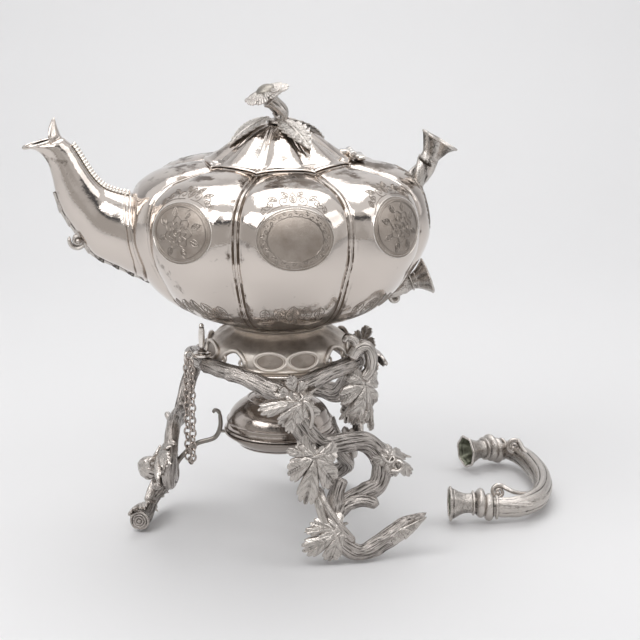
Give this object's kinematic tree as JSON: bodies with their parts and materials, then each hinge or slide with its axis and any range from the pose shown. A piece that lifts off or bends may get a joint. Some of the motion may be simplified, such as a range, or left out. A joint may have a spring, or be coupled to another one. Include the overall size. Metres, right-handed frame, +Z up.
{
  "type": "spirit kettle on stand",
  "caption": "Lobed silver hot-water kettle with a hinged flower-finial lid, standing on cast vine-branch legs over a spirit lamp, with a pin on a chain and its detached handle beside it.",
  "frame": {"origin": "middle of the footprint, on the table", "axes": "+Z up, +X from the spout towards the handle side, +Y to the back of the kettle"},
  "size_m": [0.4076, 0.2404, 0.3382],
  "materials": {
    "polished_silver": "polished silver with a warm grey tarnish",
    "cast_silver": "cast and chased silver, bright on the high places and dark in the grooves",
    "dark_silver": "tarnished silver wire",
    "wick_cotton": "plaited cotton"
  },
  "bodies": {
    "stand": {"leg_front": "cast_silver", "leg_left": "cast_silver", "leg_right": "cast_silver", "lamp_arm_front": "dark_silver", "lamp_arm_left": "dark_silver", "lamp_arm_right": "dark_silver", "seat_ring": "cast_silver", "pin_lug": "cast_silver"},
    "kettle": {"kettle_body": "polished_silver", "gallery_foot": "cast_silver", "spout": "polished_silver", "spout_crest": "cast_silver", "spout_keel": "cast_silver", "socket_upper": "cast_silver", "socket_lower": "cast_silver", "hinge_leaf_body": "polished_silver", "hinge_pin": "polished_silver"},
    "lid": {"lid": "polished_silver", "hinge_leaf_lid": "polished_silver", "finial_stem": "cast_silver", "finial_flower": "cast_silver", "finial_nut": "polished_silver", "finial_leaf_front": "cast_silver", "finial_leaf_left": "cast_silver", "finial_leaf_right": "cast_silver"},
    "lamp": {"lamp_bowl": "polished_silver", "lamp_dome": "polished_silver"},
    "burner": {"wick_tube": "polished_silver", "wick": "wick_cotton"},
    "lock_pin": {"lock_pin": "polished_silver"},
    "pin_chain": {"pin_chain": "cast_silver"},
    "loose_handle": {"handle_grip": "cast_silver", "handle_trumpet_front": "cast_silver", "handle_trumpet_back": "cast_silver"}
  },
  "joints": [
    {"name": "kettle_lift", "type": "slide", "parent": "stand", "child": "kettle", "axis": [0, 0, 1], "range_m": [0, 0.06]},
    {"name": "lid_hinge", "type": "hinge", "parent": "kettle", "child": "lid", "pos_m": [0.03494, -0.00667, 0.2842], "axis": [0, 1, 0], "range_deg": [0, 95]},
    {"name": "lamp_lift", "type": "slide", "parent": "stand", "child": "lamp", "axis": [0, 0, 1], "range_m": [0, 0.012]},
    {"name": "burner_lift", "type": "slide", "parent": "lamp", "child": "burner", "axis": [0, 0, 1], "range_m": [0, 0.015]},
    {"name": "pin_pull", "type": "slide", "parent": "stand", "child": "lock_pin", "axis": [0, 0, 1], "range_m": [0, 0.003]},
    {"name": "chain_swing", "type": "hinge", "parent": "stand", "child": "pin_chain", "pos_m": [-0.08934, -0.03706, 0.14028], "axis": [0.4147, -0.91, 0], "range_deg": [-3, 8]},
    {"name": "handle_lift", "type": "slide", "parent": "stand", "child": "loose_handle", "axis": [0, 0, 1], "range_m": [0, 0.1]}
  ]
}
